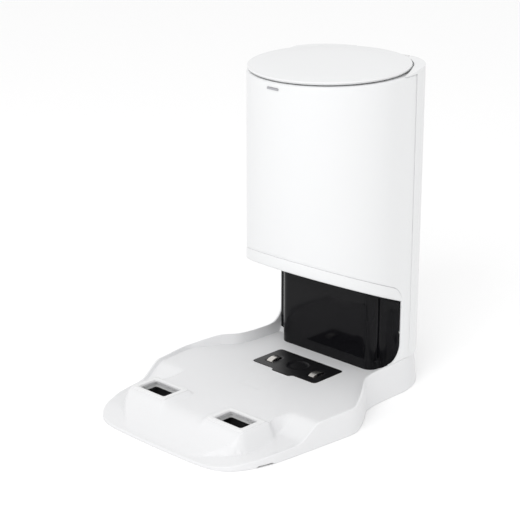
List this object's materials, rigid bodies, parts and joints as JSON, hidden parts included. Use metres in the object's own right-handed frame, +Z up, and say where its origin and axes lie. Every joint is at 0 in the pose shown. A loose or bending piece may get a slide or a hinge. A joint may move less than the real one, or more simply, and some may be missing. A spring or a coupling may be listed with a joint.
{
  "type": "robot vacuum charging dock",
  "caption": "Self-emptying charging dock: flat ramped base with suction ports and charging plate, and a round tower with a dust bag under a hinged lid.",
  "frame": {"origin": "centre of the footprint, on the floor under the rubber feet", "axes": "+X to the right seen from in front of the ramp, +Y from the ramp towards the wall behind the tower, +Z up"},
  "size_m": [0.302, 0.422, 0.43],
  "materials": {
    "shell_white": "satin",
    "base_white": "satin",
    "inner_white": "matt",
    "frame_grey": "satin",
    "seal_grey": "matt",
    "window_black": "polished",
    "plate_black": "satin",
    "bracket_black": "matt",
    "contact_metal": "nickel plated",
    "spring_steel": "drawn wire",
    "screw_steel": "zinc plated",
    "foot_rubber": "matt",
    "duct_grey": "matt",
    "board_green": "solder mask",
    "part_black": "moulded",
    "coil_copper": "taped",
    "bag_fleece": "non-woven",
    "collar_card": "coated",
    "gasket_grey": "soft",
    "filter_foam": "open foam",
    "filter_paper": "pleated",
    "motor_steel": "cast",
    "shaft_steel": "ground",
    "mount_rubber": "matt",
    "pin_brass": "plated",
    "lens_diffuser": "translucent"
  },
  "bodies": {
    "dock": {"base_cover": "base_white", "base_plate": "inner_white", "rubber_feet": "foot_rubber", "base_screws": "screw_steel", "port_frame_left": "frame_grey", "port_frame_right": "frame_grey", "port_seal_left": "seal_grey", "port_seal_right": "seal_grey", "duct_tray": "duct_grey", "duct_cover": "duct_grey", "riser_duct": "duct_grey", "duct_elbow": "duct_grey", "charging_plate": "plate_black", "contact_bracket_left": "bracket_black", "contact_bracket_right": "bracket_black", "contact_spring_left": "spring_steel", "contact_spring_right": "spring_steel", "tower_shell": "shell_white", "rear_cover": "shell_white", "rear_screws": "screw_steel", "chin_panel": "shell_white", "inner_frame": "inner_white", "sensor_window": "window_black", "sensor_board": "board_green", "sensor_leds": "part_black", "top_deck": "shell_white", "bag_chamber": "inner_white", "bag_holder": "inner_white", "bag_collar": "collar_card", "dust_bag": "bag_fleece", "bag_port_seal": "gasket_grey", "filter_frame": "bracket_black", "motor_filter": "filter_foam", "fan_housing": "bracket_black", "motor_cup": "bracket_black", "fan_motor": "motor_steel", "motor_mount_lower": "mount_rubber", "motor_mount_upper": "mount_rubber", "exhaust_duct": "duct_grey", "exhaust_filter": "filter_paper", "exhaust_grille": "shell_white", "main_board": "board_green", "main_board_parts": "part_black", "power_board": "board_green", "power_board_parts": "coil_copper", "power_inlet": "part_black", "inlet_pins": "pin_brass", "indicator_lens": "lens_diffuser", "indicator_board": "board_green", "hinge_brackets": "inner_white", "hinge_pins": "screw_steel"},
    "lid": {"lid_top": "shell_white", "lid_liner": "inner_white", "lid_gasket": "gasket_grey", "lid_hinge_arms": "inner_white", "lid_screws": "screw_steel"},
    "contact_left": {"contact_leaf_left": "contact_metal"},
    "contact_right": {"contact_leaf_right": "contact_metal"},
    "fan_rotor": {"motor_shaft": "shaft_steel", "impeller": "part_black"}
  },
  "joints": [
    {"name": "lid_hinge", "type": "hinge", "parent": "dock", "child": "lid", "pos_m": [0, 0.2075, 0.42404], "axis": [-1, 0, 0], "range_deg": [0, 95]},
    {"name": "contact_left_press", "type": "slide", "parent": "dock", "child": "contact_left", "axis": [0, 0, -1], "range_m": [0, 0.0025], "stiffness_N_per_m": 300, "springref_m": -0.002, "deforming": ["contact_spring_left"]},
    {"name": "contact_right_press", "type": "slide", "parent": "dock", "child": "contact_right", "axis": [0, 0, -1], "range_m": [0, 0.0025], "stiffness_N_per_m": 300, "springref_m": -0.002, "deforming": ["contact_spring_right"]},
    {"name": "fan_spin", "type": "hinge", "parent": "dock", "child": "fan_rotor", "pos_m": [0, 0.098, 0.2], "axis": [0, 0, 1], "continuous": true}
  ]
}
